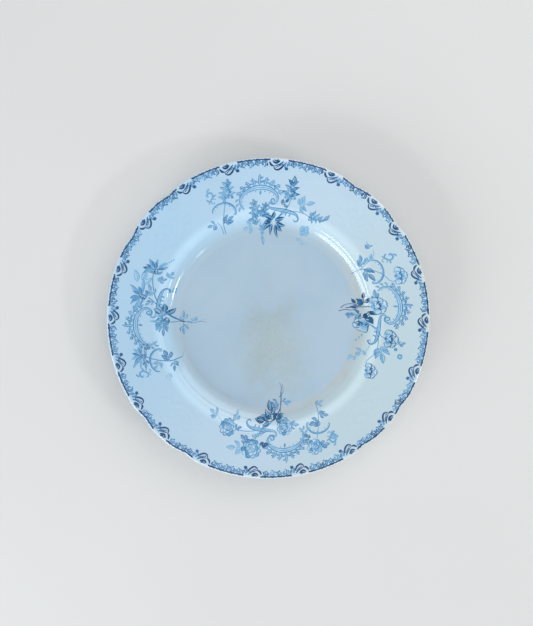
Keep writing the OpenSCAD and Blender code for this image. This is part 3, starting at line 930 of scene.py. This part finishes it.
def glaze_material():
    """Bluish glaze with crazing, tea stain, iron specks and a patchy brown halo at the foot of the wall,
    with painted shade on the floor, painted light on the wall and a painted reflection on the rim.
    """
    shader = Shader("glaze_blue_white")
    radius = shader.distance((0, 0))
    # The colour changes with the radius: painted shade darkens the floor, a painted band of light
    # brightens the wall and shoulder, and the lip is paler. The stops are shares of tint_r.
    tint_r = 130.0
    base = shader.ramp(shader.math("DIVIDE", radius, tint_r), (
        (0.0, (0.38, 0.52, 0.635)),
        (0.54, (0.39, 0.53, 0.645)),
        (0.575, (0.45, 0.60, 0.71)),
        (0.63, (0.63, 0.80, 0.92)),
        (0.68, (0.645, 0.83, 0.96)),
        (0.715, (0.53, 0.695, 0.825)),
        (0.955, (0.535, 0.70, 0.84)),
        (0.975, (0.80, 0.89, 0.95)),
    ))
    cloud = shader.span(shader.noise(38, 3), 0.35, 0.7)
    base = shader.mix(shader.times(cloud, 0.22), base, (0.54, 0.66, 0.74, 1))
    # Painted reflection and light: the wall and rim are bluer and a little darker on one side,
    # where the sky is reflected, and greyer on the other, where a warmer light falls.
    off_floor = shader.span(radius, 70, 82)
    for degrees, start, colour in ((158, -0.2, (0.81, 0.93, 1.0, 1)), (-18, 0.0, (0.99, 0.97, 0.89, 1))):
        side = shader.times(shader.span(shader.toward(degrees), start, 1.0), off_floor)
        base = shader.mix(side, base, colour, blend="MULTIPLY")

    # A patchy brown halo lies where the wall turns up from the floor.
    halo_zone = shader.times(shader.span(radius, 69, 75), shader.span(radius, 83, 76))
    halo_side = shader.span(shader.toward(-25), -0.1, 0.9, 0.12, 1)
    patches = shader.span(shader.noise(11, 3), 0.3, 0.7, 0.4, 1)
    halo = shader.times(shader.times(halo_zone, halo_side), patches)
    base = shader.mix(shader.times(halo, 0.45), base, (0.55, 0.51, 0.43, 1))

    # The stain is an oval blot with a ragged outline, and the crazing is darkest in it.
    raggedness = shader.times(shader.noise(13, 4), 44)
    blot = shader.math("ADD", shader.distance((4, -22), (0.9, 0.56, 0)), raggedness)
    stain = shader.span(blot, 56, 26)
    coarse = shader.cells(2.4, "DISTANCE_TO_EDGE").outputs["Distance"]
    fine = shader.cells(0.9, "DISTANCE_TO_EDGE").outputs["Distance"]
    cracks = shader.math("MAXIMUM", shader.span(coarse, 0.05, 0.0), shader.span(fine, 0.10, 0.0, 0.0, 0.7))
    base = shader.mix(stain, base, (0.985, 0.95, 0.85, 1), blend="MULTIPLY")
    in_stain = shader.times(stain, 0.28)
    line_share = shader.times(cracks, shader.math("ADD", in_stain, 0.05))
    base = shader.mix(line_share, base, (0.30, 0.24, 0.16, 1))

    # A few of the cells hold a speck of iron.
    spot = shader.cells(7, "F1")
    rare = shader.math("GREATER_THAN", spot.outputs["Color"], 0.93)
    speck = shader.times(shader.span(spot.outputs["Distance"], 0.045, 0.02), rare)
    base = shader.mix(shader.times(speck, 0.75), base, (0.10, 0.08, 0.07, 1))
    shader.surface("Base Color", base)
    shader.bump(*glaze_surface(shader), (shader.math("SUBTRACT", 1.0, cracks), 0.006))
    return shader.material


def ink_material():
    """Printed cobalt blue, from a pale wash to navy, with the grain of a stippled plate."""
    shader = Shader("printed_cobalt")
    tone = shader.add("ShaderNodeAttribute", attribute_name="tone").outputs["Fac"]
    # The plate's fine grain, then patches of wear
    for size, detail, depth in ((0.45, 2, 0.42), (7, 3, 0.30)):
        change = shader.times(shader.math("SUBTRACT", shader.noise(size, detail), 0.5), depth)
        tone = shader.math("ADD", tone, change)
    colour = shader.ramp(tone, (
        (0.0, (0.55, 0.735, 0.86)),
        (0.12, (0.34, 0.585, 0.78)),
        (0.38, (0.12, 0.37, 0.63)),
        (0.62, (0.03, 0.20, 0.44)),
        (0.9, (0.003, 0.062, 0.18)),
    ))
    shader.surface("Base Color", colour)
    shader.bump(*glaze_surface(shader))
    return shader.material


def clay_material():
    """Bare fired earthenware: warm off-white, grainy, with dirt rubbed into the foot."""
    shader = Shader("bare_earthenware")
    cloud = shader.span(shader.noise(12, 4), 0.3, 0.75)
    base = shader.mix(cloud, (0.72, 0.66, 0.55, 1), (0.60, 0.53, 0.42, 1))
    dirt = shader.span(shader.noise(1.2, 4), 0.52, 0.75)
    base = shader.mix(shader.times(dirt, 0.5), base, (0.30, 0.25, 0.19, 1))
    shader.surface("Base Color", base)
    shader.surface("Roughness", 0.85)
    shader.bump((shader.noise(0.6, 4), 0.08))
    return shader.material


def floor_material():
    """A plain pale studio surface."""
    shader = Shader("pale_floor")
    base = shader.mix(shader.noise(220, 2), (0.74, 0.73, 0.71, 1), (0.78, 0.77, 0.75, 1))
    shader.surface("Base Color", base)
    shader.surface("Roughness", 0.7)
    shader.bump((shader.noise(1.4, 3), 0.03))
    return shader.material


# ---- The scene: camera first, then the pieces, the floor and the light ----
# The camera looks down from beyond the plate's upper side, a little off the vertical. Its
# heading is turned from the plate's own axes, because the plate lies slightly turned.
CAMERA_DISTANCE = 0.4243
CAMERA_TILT = radians(6.6)
CAMERA_HEADING = radians(87.3)
# The plate lies a little below and to the right of the middle of the view.
CAMERA_NUDGE = Matrix.Rotation(radians(1.05), 4, "X") @ Matrix.Rotation(radians(0.166), 4, "Y")


def make_camera():
    data = bpy.data.cameras.new("camera")
    data.lens = 31.0
    data.sensor_width = 36.0
    camera = add_object("camera", data)
    middle = Vector((0, 0, lip_c[1] * MM))
    away = Vector((cos(CAMERA_HEADING), sin(CAMERA_HEADING), 0))
    back = away * sin(CAMERA_TILT) + Vector((0, 0, cos(CAMERA_TILT)))
    right = Vector((sin(CAMERA_HEADING), -cos(CAMERA_HEADING), 0))
    up = back.cross(right)
    turn = Matrix((right, up, back)).transposed().to_4x4()
    camera.matrix_world = Matrix.Translation(middle + CAMERA_DISTANCE * back) @ turn @ CAMERA_NUDGE
    bpy.context.scene.camera = camera


# Each light's name, its place, size, power and colour. The place is an angle in degrees
# anticlockwise from +X, a height and a distance from the axis. Every light faces the centre.
LIGHTS = (
    ("overhead", (90, 2.2, 0.3), (2.4, 2.0), 9.0, (1.0, 0.98, 0.96)),
    ("key", (218, 0.62, 1.7), (1.5, 0.55), 16.2, (0.90, 0.96, 0.99)),
    ("key_slit", (229, 0.85, 1.75), (0.6, 0.1), 2.6, (0.95, 0.98, 1.0)),
    ("fill", (50, 1.1, 1.5), (1.8, 1.2), 11.9, (0.97, 0.98, 0.98)),
    ("window", (331, 0.95, 1.76), (0.42, 0.13), 6, (0.95, 0.98, 1.0)),
    ("lamp", (306, 1.44, 1.39), (0.1, 0.09), 0.9, (0.98, 0.99, 1.0)),
)


def make_light():
    for name, (degrees, height, reach), size, power, colour in LIGHTS:
        data = bpy.data.lights.new(name, "AREA")
        data.shape = "RECTANGLE"
        data.size, data.size_y = size
        data.energy = power
        data.color = colour
        light = add_object(name, data)
        light.location = (reach * cos(radians(degrees)), reach * sin(radians(degrees)), height)
        light.rotation_euler = (-light.location).to_track_quat("-Z", "Y").to_euler()
    world = bpy.data.worlds.new("studio")
    world.use_nodes = True
    background = world.node_tree.nodes["Background"]
    background.inputs["Color"].default_value = (0.90, 0.94, 1.0, 1)
    background.inputs["Strength"].default_value = 0.46
    bpy.context.scene.world = world


def make_floor():
    half = 1.6
    corners = [(-half, -half, 0), (half, -half, 0), (half, half, 0), (-half, half, 0)]
    floor = add_mesh("floor", corners, [(0, 1, 2, 3)])
    floor.data.materials.append(floor_material())


def finish_piece(piece, node, material):
    piece.data.materials.append(material)
    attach(piece, "root")
    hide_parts(node)


make_camera()
glaze = glaze_material()
cobalt = ink_material()
finish_piece(make_glaze(), "glaze_coat", glaze)
finish_piece(make_base_glaze(), "base_glaze", glaze)
finish_piece(border_print(), "border_print", cobalt)
for spray in SPRAYS:
    finish_piece(spray_print(*spray), spray[0] + "_spray", cobalt)
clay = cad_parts["clay_body"]
clay.data.materials.clear()
clay.data.materials.append(clay_material())
make_floor()
make_light()
bpy.context.scene.view_settings.view_transform = "Standard"
